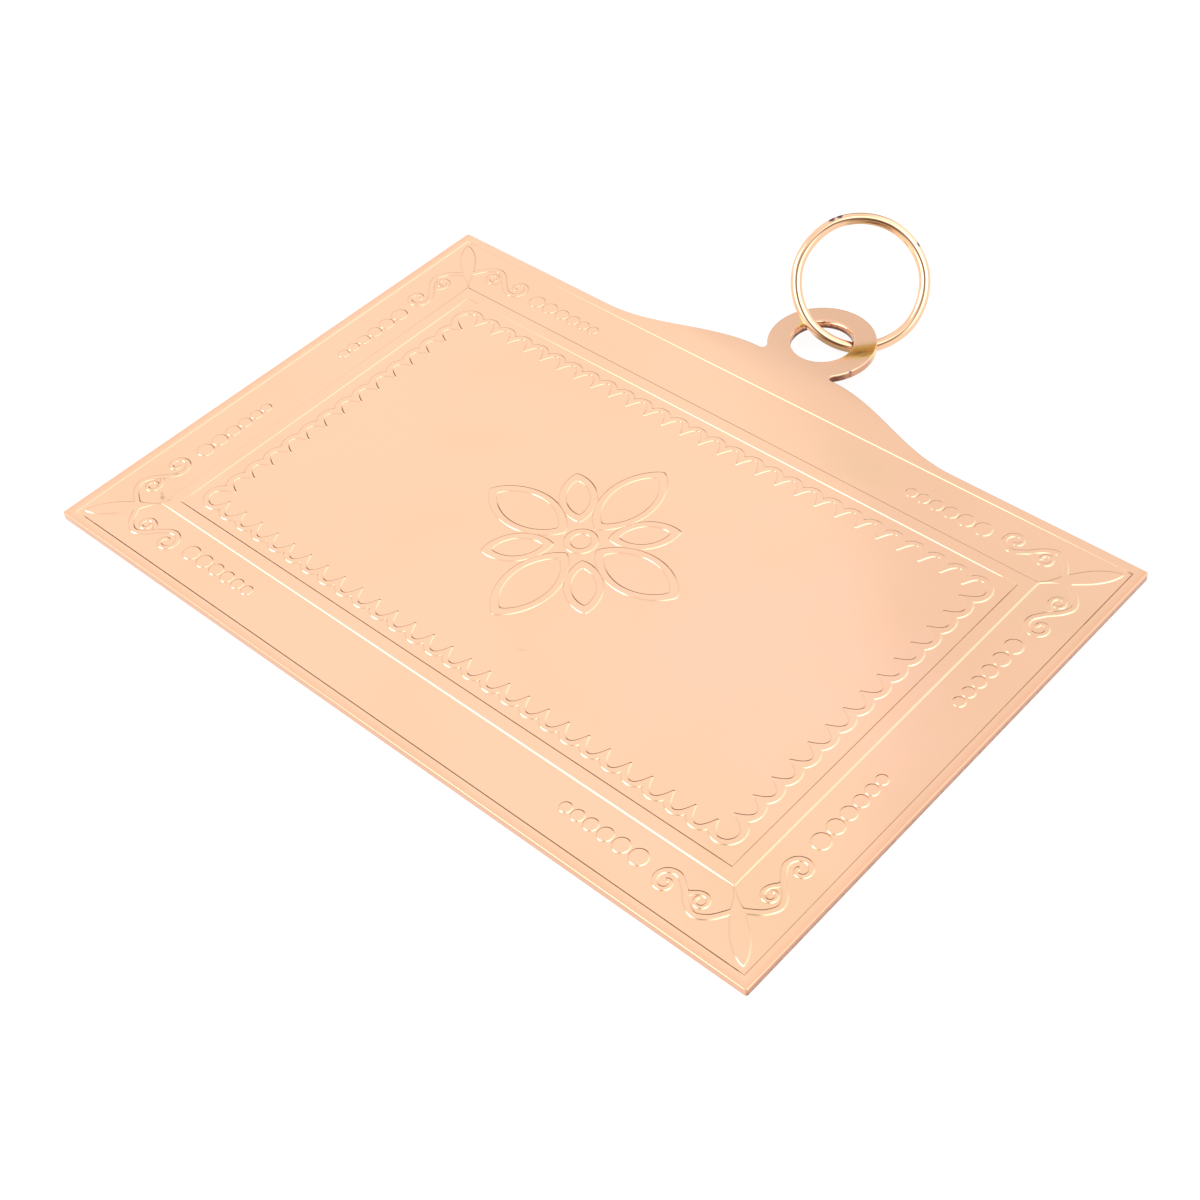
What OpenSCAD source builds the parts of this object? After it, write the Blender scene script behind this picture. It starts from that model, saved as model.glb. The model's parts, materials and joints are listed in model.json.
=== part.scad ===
// Masonic breastplate: a flat metal plate with a raised border, scrolled corners and
// a low gable that ends in an eye. A loose round wire ring hangs in the eye.
// The plate lies face up. Its lower back edge and the ring's wire, which runs
// under the rim of the eye, carry it, so it slopes up a little towards the eye.

/* [Plate] */
// Width of the rectangle, left to right
plate_w = 100; // [97:0.5:103]
// Height of the rectangle, lower edge to upper edge
plate_h = 65.4; // [64:0.2:67]
// Thickness of the metal, back to raised face
plate_t = 1; // [0.9:0.05:1.2]
// Radius of the four corners
corner_r = 0.3; // [0.2:0.05:0.8]
// Depth of the sunk field below the raised face
relief = 0.1; // [0.08:0.02:0.3]

/* [Gable and eye] */
// Half the width of the gable on the upper edge
gable_half = 25.4; // [20:0.2:30]
// Height of the gable where it meets the eye
gable_h = 4.7; // [4:0.1:5.5]
// Offset of the eye from the middle, positive to the right
eye_x = -0.2; // [-0.5:0.1:0.5]
// Height of the eye's centre above the upper edge
eye_y = 9.75; // [9.4:0.05:10]
// Outer diameter of the eye
eye_d = 13; // [12.6:0.1:13.4]
// Diameter of the hole in the eye
hole_d = 7.5; // [7.2:0.1:7.7]
// Radius of the fillet between eye and gable
notch_r = 0.5; // [0.3:0.1:0.8]

/* [Borders] */
// Width of the raised rim
rim_w = 1.18; // [0.8:0.02:1.6]
// Distance from the plate's edge to the raised band
band_in = 8.05; // [7.9:0.05:8.2]
// Width of the raised band
band_w = 1.55; // [1.2:0.05:1.7]
// Scallops along each long side of the ribbon
scallops_long = 26; // [25:1:26]
// Scallops along each short side of the ribbon
scallops_short = 13; // [12:1:13]
// Distance from the plate's corner to the first tip, along a long side
tip_long = 14.13; // [14.13:0.01:14.25]
// Distance from the plate's corner to the first tip, along a short side
tip_short = 14.5; // [14.4:0.05:14.6]
// Half the thickness of the tips between scallops
tip_half = 0.08; // [0.06:0.01:0.1]
// Distance from the plate's edges to the centre of the ribbon's corner loop
loop_in = 12.75; // [12.65:0.05:12.75]
// Radius of the corner loop on the ribbon's inner edge
loop_r = 1.3; // [1.2:0.02:1.34]

/* [Discs] */
// Discs in each row
disc_count = 6; // [3:1:6]
// Distance from the corner to the first disc
disc_start = 17.05; // [17:0.05:17.6]
// Radius of the largest disc
disc_r = 1; // [0.8:0.05:1.05]
// Step from the first disc to the second
disc_step = 2.2; // [2.15:0.05:2.3]
// Size of each disc and step against the one before
disc_ratio = 0.92; // [0.88:0.005:0.93]
// Distance of the rows from the plate's edge
disc_in = 4.98; // [4.4:0.02:5.4]

/* [Centre rosette] */
// Distance from the centre to the leaf points
rosette_r = 13.2; // [11:0.2:14]
// Width of the raised outlines
outline_w = 0.75; // [0.5:0.05:0.85]
// Outer radius of the ring in the middle
centre_ring_r = 1.9; // [1.6:0.1:2.2]

/* [Ring] */
// Diameter of the ring, middle of wire to middle of wire
ring_d = 15.3; // [15.1:0.1:15.7]
// Diameter of the wire
wire_d = 1.36; // [1.3:0.02:1.38]
// Sideways place of the ring's lowest point
ring_x = 3; // [2.9:0.05:3.1]
// Distance of the ring's lowest point beyond the upper edge
ring_y = 13.65; // [13.6:0.05:13.7]
// Heading of the wire where it passes under the eye
ring_heading = 43; // [42:0.5:44]
// Lean of the ring from upright
ring_lean = 41; // [36:0.5:41.5]
// Space between wire and plate at the ring's lowest point
seat_gap = 0.27; // [0.27:0.01:0.35]

/* [Hidden] */

cut = 1;
half_w = plate_w / 2;
half_h = plate_h / 2;
round_fn = 96;
wire_fn = 32;
disc_fn = 40;
centre_fn = 48;
gable_steps = 22;
corner_steps = 5;
inner_steps = 8;
outer_steps = 4;
loop_steps = 14;
eye_steps = 60;
notch_steps = 6;

// The plate turns up about its lower back edge until the wire fits under the eye
wire_r = wire_d / 2;
ring_reach = plate_h + ring_y;
tilt = asin((wire_d + seat_gap) / ring_reach);
ring_contact_y = ring_reach * cos(tilt) + (wire_r + seat_gap) * sin(tilt);

// The ring's highest reach along Y sets the depth of the box that the origin halves
ring_centre_y = ring_contact_y + ring_d / 2 * cos(ring_heading) * sin(ring_lean);
ring_normal_y = cos(ring_heading) * cos(ring_lean);
reach_y = ring_centre_y + ring_d / 2 * sqrt(1 - pow(ring_normal_y, 2)) + wire_r;
shift_y = -reach_y / 2;

// Scalloped ribbon, measured along a side and in from it: a row for the long sides and one for the short
SIDE_LENGTH = 0;
SIDE_FIRST = 1;
SIDE_COUNT = 2;
SIDE_OUTER = 3;
SIDE_OUTER_R = 4;
SIDE_INNER = 5;
SIDE_TIP = 6;
ribbon_sides = [
    // length, first_tip, count, outer_edge, outer_radius, inner_edge, tips
    [plate_w, tip_long, scallops_long, 10.75, 1.64, 11.3, 13],
    [plate_h, tip_short, scallops_short, 11.1, 1.95, 11.8, 13.37],
];
long_side = ribbon_sides[0];
short_side = ribbon_sides[1];
scallop_power = 2.1;

// Lancet leaf on the corner's diagonal: a row for each section
LEAF_ALONG = 0;
LEAF_HALF = 1;
leaf = [
    // along, half_width
    [2.62, 0.00],
    [2.85, 0.20],
    [3.42, 0.50],
    [4.25, 0.76],
    [5.20, 0.90],
    [6.10, 0.93],
    [7.10, 0.84],
    [8.10, 0.72],
    [8.80, 0.62],
    [9.30, 0.40],
    [10.30, 0.15],
    [11.45, 0.06],
];

// Knots of the scroll's stem, from the leaf to the start of the big volute
STEM_ALONG = 0;
STEM_IN = 1;
stem = [
    // along the side, in from the side
    [5.85, 6.60],
    [6.30, 5.90],
    [6.75, 5.10],
    [7.60, 3.95],
    [8.90, 3.25],
    [10.20, 3.80],
    [11.40, 5.00],
];
stem_steps = 4;
stem_half = 0.29;

// Big volute: an even spiral that winds in clockwise
big_centre = [13.28, 4.42];
big_start = 125;
big_turn = 410;
big_r = 1.55;
big_end_r = 0.24;
big_end_half = 0.19;
big_steps = 30;

// Small volute: it leaves the stem and winds in anticlockwise
small_centre = [9.34, 4.8];
small_turn = 400;
small_r = 0.86;
small_end_r = 0.5;
small_flare = 0.6;
small_flare_turn = 26;
small_half = 0.24;
small_end_half = 0.15;
small_steps = 28;

// Leaves of the rosette: a row for each kind
LEAF_COUNT = 0;
LEAF_TURN = 1;
LEAF_FROM = 2;
LEAF_TO = 3;
LEAF_WIDTH = 4;
rosette = [
    // count, turn, from, to, half_width
    [4, 0, 2.9, rosette_r, 2.75],
    [4, 45, 3.6, rosette_r * 0.78, 1.75],
];
leaf_steps = 14;
leaf_taper = 1.5;

function mix(a, b, t) = a + (b - a) * t;
function arc(c, r, a0, a1, steps) =
    [for (i = [0 : steps]) c + r * [cos(mix(a0, a1, i / steps)), sin(mix(a0, a1, i / steps))]];

// Cubic through four knots, at t between the middle two
function knot_curve(p, i, t) =
    let (a = p[max(i - 1, 0)], b = p[i], c = p[i + 1], d = p[min(i + 2, len(p) - 1)])
    0.5 * (2 * b + (c - a) * t + (2 * a - 5 * b + 4 * c - d) * t * t
        + (3 * b - a - 3 * c + d) * t * t * t);
function through(knots, steps) = [
    for (i = [0 : len(knots) - 2]) for (k = [0 : steps - 1]) knot_curve(knots, i, k / steps),
];

// A ribbon follows a path, with half its width going from h0 to h1
function side_step(path, i) =
    let (d = path[min(i + 1, len(path) - 1)] - path[max(i - 1, 0)])
    [-d[1], d[0]] / norm(d);
function ribbon(path, h0, h1, h_from) =
    let (
        n = len(path) - 1,
        h = [for (i = [0 : n]) i < h_from ? h0 : mix(h0, h1, (i - h_from) / (n - h_from))]
    )
    concat(
        [for (i = [0 : n]) path[i] + h[i] * side_step(path, i)],
        [for (i = [n : -1 : 0]) path[i] - h[i] * side_step(path, i)]
    );

// Ogee of the gable: half a cosine wave from the upper edge to the fillet beside the eye
function gable_line(side, top) = [
    for (i = [0 : gable_steps])
        let (t = i / gable_steps)
        [side * mix(gable_half, top, t), plate_h + gable_h * (1 - cos(180 * t)) / 2],
];

// Spacing of the tips on one side of the ribbon
function side_pitch(s) = (s[SIDE_LENGTH] - 2 * s[SIDE_FIRST]) / s[SIDE_COUNT];

// Inner edge of the ribbon: each scallop rises to its tips by a power of the distance from its middle
function inner_scallops(s) = [
    for (i = [0 : s[SIDE_COUNT] - 1], k = [0 : inner_steps])
        let (pitch = side_pitch(s), u = sin(180 * k / inner_steps - 90))
        [
            s[SIDE_FIRST] + pitch * (i + 0.5) + u * (pitch / 2 - tip_half),
            mix(s[SIDE_INNER], s[SIDE_TIP], pow(abs(u), scallop_power)),
        ],
];
// The corner loop is a quarter circle that rises to the first tip of either side by the same power
function loop_rise(s, u) = [
    mix(loop_in, s[SIDE_FIRST] - tip_half, u),
    mix(loop_in - loop_r, s[SIDE_TIP], pow(u, scallop_power)),
];
function inner_side(s, next) =
    let (length = s[SIDE_LENGTH], steps = inner_steps / 2)
    concat(
        inner_scallops(s),
        [for (k = [steps : -1 : 1]) let (p = loop_rise(s, sin(90 * k / steps))) [length - p[0], p[1]]],
        arc([length - loop_in, loop_in], loop_r, -90, 0, steps),
        [for (k = [1 : steps]) let (p = loop_rise(next, sin(90 * k / steps))) [length - p[1], p[0]]]
    );

// Outer edge of the ribbon: arcs that meet in line with the tips
function outer_scallops(s) =
    let (pitch = side_pitch(s), r = s[SIDE_OUTER_R], half = asin(pitch / 2 / r))
    [
        for (i = [0 : s[SIDE_COUNT] - 1])
            let (centre = [s[SIDE_FIRST] + pitch * (i + 0.5), s[SIDE_OUTER] + r])
                each arc(centre, r, -90 - half, -90 + half, outer_steps),
    ];
// First cusp from the centre of the corner loop: along the side, and out towards it
function cusp(s) = [
    s[SIDE_FIRST] - loop_in,
    loop_in - s[SIDE_OUTER] - s[SIDE_OUTER_R] + sqrt(pow(s[SIDE_OUTER_R], 2) - pow(side_pitch(s) / 2, 2)),
];
// The corner loop's outer radius runs evenly from one cusp to the other
function outer_side(s, next) =
    let (a = cusp(s), b = cusp(next), from = -90 - atan2(a[0], a[1]), to = atan2(b[0], b[1]))
    concat(
        outer_scallops(s),
        [
            for (i = [1 : loop_steps - 1])
                let (t = i / loop_steps, turn = mix(from, to, t))
                [s[SIDE_LENGTH] - loop_in, loop_in] + mix(norm(a), norm(b), t) * [cos(turn), sin(turn)],
        ]
    );

// Edges of a long and a short side, repeated all round the plate's middle
function all_round(long, short) = concat(
    [for (p = long) [p[0] - half_w, p[1] - half_h]],
    [for (p = short) [half_w - p[1], p[0] - half_h]],
    [for (p = long) [half_w - p[0], half_h - p[1]]],
    [for (p = short) [p[1] - half_w, half_h - p[0]]]
);

// Volute paths
function big_path() = [
    for (i = [0 : big_steps])
        let (t = i / big_steps, a = big_start - big_turn * t)
        big_centre + mix(big_r, big_end_r, t) * [cos(a), sin(a)],
];
function small_path() = [
    for (i = [0 : small_steps])
        let (t = i / small_steps, a = small_turn * t)
        small_centre
            + (mix(small_r, small_end_r, t) + small_flare * exp(-a / small_flare_turn)) * [cos(a), sin(a)],
];
function disc_place(k) = disc_start + disc_step * (1 - pow(disc_ratio, k)) / (1 - disc_ratio);

module inset_rect(d) {
    translate([d - half_w, d]) square([plate_w - 2 * d, plate_h - 2 * d]);
}

// Repeats a shape drawn from a corner at all four corners
module at_corners() {
    for (x = [-1, 1], y = [-1, 1])
        translate([x * half_w, half_h + y * half_h])
            mirror([x > 0 ? 1 : 0, 0]) mirror([0, y > 0 ? 1 : 0])
                children();
}

// Repeats a shape and its mirror image across the corner's diagonal
module both_ways() {
    children();
    mirror([1, -1]) children();
}

module corner_leaf() {
    upper = [for (s = leaf) [s[LEAF_ALONG], s[LEAF_HALF]]];
    lower = [for (i = [len(leaf) - 1 : -1 : 1]) [leaf[i][LEAF_ALONG], -leaf[i][LEAF_HALF]]];
    rotate([0, 0, 45]) polygon(concat(upper, lower));
}

module corner_scroll() {
    stem_path = through([for (s = stem) [s[STEM_ALONG], s[STEM_IN]]], stem_steps);
    big = concat(stem_path, big_path());
    polygon(ribbon(big, stem_half, big_end_half, len(stem_path)));
    polygon(ribbon(small_path(), small_half, small_end_half, 0));
}

module disc_row() {
    for (k = [0 : disc_count - 1])
        translate([disc_place(k), disc_in]) circle(r = disc_r * pow(disc_ratio, k), $fn = disc_fn);
}

module rosette_leaf(from, to, half_width) {
    // A leaf is as wide at each place as a half sine wave, and the opening keeps the outline's width
    middle = (from + to) / 2;
    reach = (to - from) / 2;
    tip = outline_w / 2 / sin(atan(half_width * PI / 2 / reach));
    difference() {
        polygon(sine_leaf(middle, reach + tip, half_width + outline_w / 2));
        polygon(sine_leaf(middle, reach - tip, half_width - outline_w / 2));
    }
}
function sine_leaf(middle, reach, half_width) = concat(
    [for (i = [0 : leaf_steps]) sine_leaf_point(middle, reach, half_width, 180 * i / leaf_steps)],
    [for (i = [leaf_steps - 1 : -1 : 1]) sine_leaf_point(middle, reach, -half_width, 180 * i / leaf_steps)]
);
function sine_leaf_point(middle, reach, half_width, a) =
    [middle - reach * cos(a), half_width * pow(sin(a), leaf_taper)];

module centre_rosette() {
    translate([0, half_h]) {
        for (kind = rosette, i = [0 : kind[LEAF_COUNT] - 1])
            rotate([0, 0, kind[LEAF_TURN] + 360 * i / kind[LEAF_COUNT]])
                rosette_leaf(kind[LEAF_FROM], kind[LEAF_TO], kind[LEAF_WIDTH]);
        difference() {
            circle(r = centre_ring_r, $fn = centre_fn);
            circle(r = centre_ring_r - outline_w, $fn = centre_fn);
        }
    }
}

// Everything that stands up from the sunk field
module raised_ornament() {
    difference() {
        inset_rect(band_in);
        inset_rect(band_in + band_w);
    }
    translate([0, half_h])
        difference() {
            polygon(all_round(outer_side(long_side, short_side), outer_side(short_side, long_side)));
            polygon(all_round(inner_side(long_side, short_side), inner_side(short_side, long_side)));
        }
    at_corners() {
        corner_leaf();
        both_ways() {
            corner_scroll();
            disc_row();
        }
    }
    centre_rosette();
}

// One closed line: corners, gable, fillets and the eye's arc between them
module plate_outline() {
    eye_c = [eye_x, plate_h + eye_y];
    fillet_y = plate_h + gable_h + notch_r;
    fillet_reach = sqrt(pow(eye_d / 2 + notch_r, 2) - pow(eye_c[1] - fillet_y, 2));
    right_x = eye_x + fillet_reach;
    left_x = eye_x - fillet_reach;
    touch = atan2(eye_c[1] - fillet_y, fillet_reach);
    left_gable = gable_line(-1, -left_x);
    polygon(concat(
        arc([corner_r - half_w, corner_r], corner_r, 180, 270, corner_steps),
        arc([half_w - corner_r, corner_r], corner_r, 270, 360, corner_steps),
        arc([half_w - corner_r, plate_h - corner_r], corner_r, 0, 90, corner_steps),
        gable_line(1, right_x),
        arc([right_x, fillet_y], notch_r, 270, 180 - touch, notch_steps),
        arc(eye_c, eye_d / 2, -touch, 180 + touch, eye_steps),
        arc([left_x, fillet_y], notch_r, touch, -90, notch_steps),
        [for (i = [gable_steps : -1 : 0]) left_gable[i]],
        arc([corner_r - half_w, plate_h - corner_r], corner_r, 90, 180, corner_steps)
    ));
}

module breastplate() {
    color("#f5c9a4")
        translate([0, shift_y, 0]) rotate([tilt, 0, 0])
            difference() {
                linear_extrude(plate_t) plate_outline();
                translate([eye_x, plate_h + eye_y, -cut])
                    cylinder(h = plate_t + 2 * cut, d = hole_d, $fn = round_fn);
                translate([0, 0, plate_t - relief])
                    linear_extrude(relief + cut)
                        difference() {
                            inset_rect(rim_w);
                            raised_ornament();
                        }
            }
}

// The ring stands on its lowest point, leans back from upright and turns to its heading
module suspension_ring() {
    color("#f0cd8a")
        translate([ring_x, shift_y + ring_contact_y, wire_r])
            rotate([0, 0, ring_heading]) rotate([-ring_lean, 0, 0])
                translate([0, 0, ring_d / 2]) rotate([90, 0, 0])
                    rotate_extrude($fn = round_fn)
                        translate([ring_d / 2, 0]) circle(d = wire_d, $fn = wire_fn);
}

breastplate();
suspension_ring();
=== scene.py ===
import json
import math
import bpy
import numpy as np
from mathutils import Matrix, Vector
from mathutils.geometry import delaunay_2d_cdt


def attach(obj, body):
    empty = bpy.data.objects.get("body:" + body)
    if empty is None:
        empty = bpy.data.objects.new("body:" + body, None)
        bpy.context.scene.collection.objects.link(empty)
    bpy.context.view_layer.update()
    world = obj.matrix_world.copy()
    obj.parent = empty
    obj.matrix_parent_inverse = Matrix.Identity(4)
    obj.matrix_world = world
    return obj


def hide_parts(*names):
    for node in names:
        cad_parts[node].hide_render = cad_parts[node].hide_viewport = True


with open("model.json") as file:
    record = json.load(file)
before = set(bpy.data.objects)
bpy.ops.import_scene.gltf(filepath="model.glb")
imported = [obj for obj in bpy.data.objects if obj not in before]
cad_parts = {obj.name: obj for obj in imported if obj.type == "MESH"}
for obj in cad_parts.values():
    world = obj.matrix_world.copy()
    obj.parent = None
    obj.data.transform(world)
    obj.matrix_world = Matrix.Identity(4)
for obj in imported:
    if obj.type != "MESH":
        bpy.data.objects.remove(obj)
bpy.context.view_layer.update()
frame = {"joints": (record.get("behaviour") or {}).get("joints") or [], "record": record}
scene = bpy.context.scene
millimetre = 0.001

# Sizes are in millimetres in the plate's own frame: x across from the middle, y up from the lower
# edge, z up from the back. The plate then turns up about its lower back edge, as it lies on the wire.
plate = {
    "width": 100,
    "height": 65.4,
    "thickness": 1,
    "cornerRadius": 0.3,
    "gableHalf": 25.4,
    "gableHeight": 4.7,
    "gablePoints": 49,
    "eyeX": -0.2,
    "eyeY": 9.75,           # above the upper edge
    "eyeDiameter": 13,
    "holeDiameter": 7.5,
    "notchRadius": 0.5,
    "edgeRounding": 0.12,   # polished arris along the outline
    "holeRounding": 0.13,
    "holeStep": 0.2,        # spacing of the points round the hole
    "lipWear": 0.34,        # added on the far side of the hole, where the ring wears it
    "lipPower": 1.5,
    "lipHeading": 115,      # direction from the hole's middle, in degrees from the plate's right
    "backRounding": 0.1,
    "facePoints": 7,        # across the rounding at the face
    "backPoints": 4,        # and at the back
    "ringPlace": 13.65,     # the ring's lowest point, beyond the upper edge
    "seatGap": 0.27,
}

ornament = {
    "relief": 0.1,
    "wallInside": 0.09,     # the shoulder starts this far inside a raised outline
    "wallOutside": 0.11,    # the wall's foot ends this far outside it
    "levels": 7,            # lines of points across each wall
    "lineStep": 0.18,       # spacing of the points along curves
    "straightStep": 2.0,    # along straight lines
    "borderStep": 3.0,      # along the outline and the rim's inner line
    "rimWidth": 1.18,
    "rimMargin": 0.12,      # the rim's flat starts this far outside its inner line
    "bandIn": 8.05,
    "bandWidth": 1.55,
    "wornFrom": 50,         # above this height the upper border is worn
    "wornFade": 4,
    "wornSlope": 0.42,      # share of their slope that worn walls keep
}

scallops = {
    # How far along each side the first tip is, and how far in from it the outer and inner edges' crests
    # and the tips are; the radius is the outer edge's arcs'
    "long": {
        "length": plate["width"], "count": 26, "first": 14.13,
        "outer": 10.75, "radius": 1.64, "inner": 11.3, "tip": 13,
    },
    "short": {
        "length": plate["height"], "count": 13, "first": 14.5,
        "outer": 11.1, "radius": 1.95, "inner": 11.8, "tip": 13.37,
    },
    "power": 2.1,           # how steeply the inner edge rises to its tips
    "tipHalf": 0.08,
    "loopCentre": 12.75,
    "loopRadius": 1.3,
}

discs = {"count": 6, "start": 17.05, "radius": 1, "step": 2.2, "ratio": 0.92, "inset": 4.98}

# Columns: distance along the corner's diagonal, half the leaf's width
cornerLeaf = [
    (2.62, 0.00), (2.85, 0.20), (3.42, 0.50), (4.25, 0.76), (5.20, 0.90), (6.10, 0.93),
    (7.10, 0.84), (8.10, 0.72), (8.80, 0.62), (9.30, 0.40), (10.30, 0.15), (11.45, 0.06),
]

scroll = {
    # Columns: along the side, in from the side
    "stem": [
        (5.85, 6.60), (6.30, 5.90), (6.75, 5.10), (7.60, 3.95), (8.90, 3.25), (10.20, 3.80), (11.40, 5.00),
    ],
    "stemHalf": 0.29,
    # Each volute: its first and last radius, the turn between them in degrees, half the ribbon's width
    "bigCentre": (13.28, 4.42),
    "bigRadius": (1.55, 0.24),
    "bigStart": 125,
    "bigTurn": 410,
    "bigEndHalf": 0.19,
    "bigPoints": 60,
    "smallCentre": (9.34, 4.8),
    "smallRadius": (0.86, 0.5),
    "smallTurn": 400,
    "smallFlare": 0.6,
    "smallFlareTurn": 26,
    "smallHalf": (0.24, 0.15),
    "smallPoints": 56,
}

rosette = {
    # Columns: first angle, angle step, how many touch the quarter, from, to, half the width
    "leaves": [(180, 90, 2, 2.9, 13.2, 2.75), (225, 90, 1, 3.6, 10.296, 1.75)],
    "taper": 1.5,
    "outline": 0.75,
    "ringRadius": 1.9,
}


# Places worked out from the frame: the hinge lies in the wire's middle, where it passes under the eye
hinge = frame["joints"][0]["pos_m"]
ringMount = next(m for m in frame["record"]["mounts"] if m["name"] == "ring_loop")
wireRadius = hinge[2] / millimetre
ringReach = plate["height"] + plate["ringPlace"]
tilt = math.asin((2 * wireRadius + plate["seatGap"]) / ringReach)
seatY = ringReach * math.cos(tilt) + (wireRadius + plate["seatGap"]) * math.sin(tilt)
plateShift = Vector((0, hinge[1] - seatY * millimetre, 0))
plateTurn = Matrix.Rotation(tilt, 3, "X")


# A point of the plate's frame, in metres in the shared frame: turned by the tilt, then moved
def placeOnFloor(points):
    turned = np.asarray(points, float) @ np.array(plateTurn).T
    return turned * millimetre + np.array(plateShift)


# Vectors divided by their lengths
def unit(vectors):
    return vectors / np.maximum(np.linalg.norm(vectors, axis=-1, keepdims=True), 1e-12)


# Camera: found from the plate's corners and borders in the photo
photoCamera = {
    "lens": 60.28,
    "sensor": 36,
    "nearest": 0.005,       # metres
    "place": (115.34, -105.77, 151.28),     # from the rectangle's middle on the raised face
    "right": (0.73724, 0.67097, -0.07927),
    "up": (-0.44303, 0.56866, 0.69307),
    "back": (0.51011, -0.47584, 0.71650),
}


def addCamera():
    data = bpy.data.cameras.new("photoCamera")
    data.lens = photoCamera["lens"]
    data.sensor_width = photoCamera["sensor"]
    data.clip_start = photoCamera["nearest"]
    camera = bpy.data.objects.new("photoCamera", data)
    scene.collection.objects.link(camera)
    axes = Matrix([photoCamera[name] for name in ("right", "up", "back")]).transposed()
    middle = np.array([0, plate["height"] / 2, plate["thickness"]])
    place = placeOnFloor(middle + np.array(photoCamera["place"]))
    camera.matrix_world = Matrix.Translation(Vector(place)) @ (plateTurn @ axes).to_4x4()
    scene.camera = camera


addCamera()
print("camera set")


# Arc of a circle: centre + radius * (cos a, sin a), with a going evenly from start to end in degrees
def arc(centre, radius, start, end, step):
    count = max(4, math.ceil(abs(end - start) / 360 * 2 * math.pi * radius / step))
    angle = np.radians(np.linspace(start, end, count + 1))
    return np.array(centre) + radius * np.stack([np.cos(angle), np.sin(angle)], axis=1)


# Corners joined by straight lines, with points no further apart than step
def straightLoop(corners, step):
    corners = np.array(corners, float)
    sides = []
    for here, there in zip(corners, np.roll(corners, -1, axis=0)):
        t = np.arange(0, 1, 1 / max(1, math.ceil(np.linalg.norm(there - here) / step)))[:, None]
        sides.append(here + (there - here) * t)
    return np.concatenate(sides)


# Smooth curve through knots: each piece is the cubic whose slope at a knot is half the step
# between the knot's neighbours
def knotCurve(knots, perPiece):
    p = np.array(knots, float)
    before = np.concatenate([p[:1], p[:-2]])[:, None]
    here, there = p[:-1, None], p[1:, None]
    after = np.concatenate([p[2:], p[-1:]])[:, None]
    t = np.linspace(0, 1, perPiece, endpoint=False)[None, :, None]
    curve = 0.5 * (
        2 * here + (there - before) * t + (2 * before - 5 * here + 4 * there - after) * t**2
        + (3 * here - before - 3 * there + after) * t**3
    )
    return curve.reshape(-1, 2)


# Ribbon: a path with its half width added on the left and taken off on the right, closed at both ends
def ribbon(path, half):
    along = unit(np.gradient(path, axis=0))
    side = np.stack([-along[:, 1], along[:, 0]], axis=1) * np.asarray(half)[:, None]
    return np.concatenate([path - side, (path + side)[::-1]])


# Width of a side's scallops, and where the middles lie of half of them and two more
def scallopPlaces(row):
    pitch = (row["length"] - 2 * row["first"]) / row["count"]
    return pitch, row["first"] + pitch * (np.arange(row["count"] // 2 + 3) + 0.5)


# Inner edge of the ribbon, along one side and in from it: each scallop rises to its tips by a power of
# the distance from its middle
def innerScallops(side, step):
    row = scallops[side]
    pitch, middle = scallopPlaces(row)
    rise = row["tip"] - row["inner"]
    steps = 2 * math.ceil((rise + pitch / 2) / step)
    u = np.sin(np.linspace(-math.pi / 2, math.pi / 2, steps + 1))
    along = middle[:, None] + u[None, :] * (pitch / 2 - scallops["tipHalf"])
    within = np.broadcast_to(row["inner"] + rise * np.abs(u) ** scallops["power"], along.shape)
    return np.stack([along, within], axis=-1).reshape(-1, 2)


# From the corner loop's quarter circle to the first tip, along one side and in from it, by the same power
def loopRise(side, step):
    first, tip = scallops[side]["first"], scallops[side]["tip"]
    centre, low = scallops["loopCentre"], scallops["loopCentre"] - scallops["loopRadius"]
    u = np.sin(np.linspace(0, math.pi / 2, math.ceil((tip - low + first - centre) / step) + 1))
    along = centre + (first - scallops["tipHalf"] - centre) * u
    return np.stack([along, low + (tip - low) * u ** scallops["power"]], axis=1)


# Inner edge in the corner's frame: down the left side, round the loop and along the lower side
def innerEdge(step):
    centre = scallops["loopCentre"]
    loop = arc((centre, centre), scallops["loopRadius"], 180, 270, step)
    left = [innerScallops("short", step)[::-1, ::-1], loopRise("short", step)[::-1, ::-1]]
    return closeFarAway(left + [loop, loopRise("long", step), innerScallops("long", step)])


# Outer edge, along one side and in from it: arcs that meet in line with the tips
def outerScallops(side, step):
    row = scallops[side]
    pitch, middle = scallopPlaces(row)
    radius = row["radius"]
    half = math.degrees(math.asin(pitch / 2 / radius))
    centreIn = row["outer"] + radius
    return np.concatenate([arc((x, centreIn), radius, 270 - half, 270 + half, step)[:-1] for x in middle])


# Outer edge in the corner's frame: the loop's radius runs evenly from one cusp to the other
def outerEdge(step):
    left, lower = outerScallops("short", step)[::-1, ::-1], outerScallops("long", step)
    centre = np.array([scallops["loopCentre"], scallops["loopCentre"]])
    ends = np.array([left[-1], lower[0]]) - centre
    radii = np.linalg.norm(ends, axis=1)
    turns = np.arctan2(ends[:, 1], ends[:, 0]) % (2 * math.pi)
    t = np.linspace(0, 1, math.ceil((turns[1] - turns[0]) * radii.mean() / step) + 1)[1:-1, None]
    turn = turns[0] + (turns[1] - turns[0]) * t
    radius = radii[0] + (radii[1] - radii[0]) * t
    loop = centre + radius * np.concatenate([np.cos(turn), np.sin(turn)], axis=1)
    return closeFarAway([left, loop, lower])


# The quarter's edges close through a point well beyond the plate's middle
def closeFarAway(parts):
    beyond = 9
    return np.concatenate(parts + [[(plate["width"] / 2 + beyond, plate["height"] / 2 + beyond)]])


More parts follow.
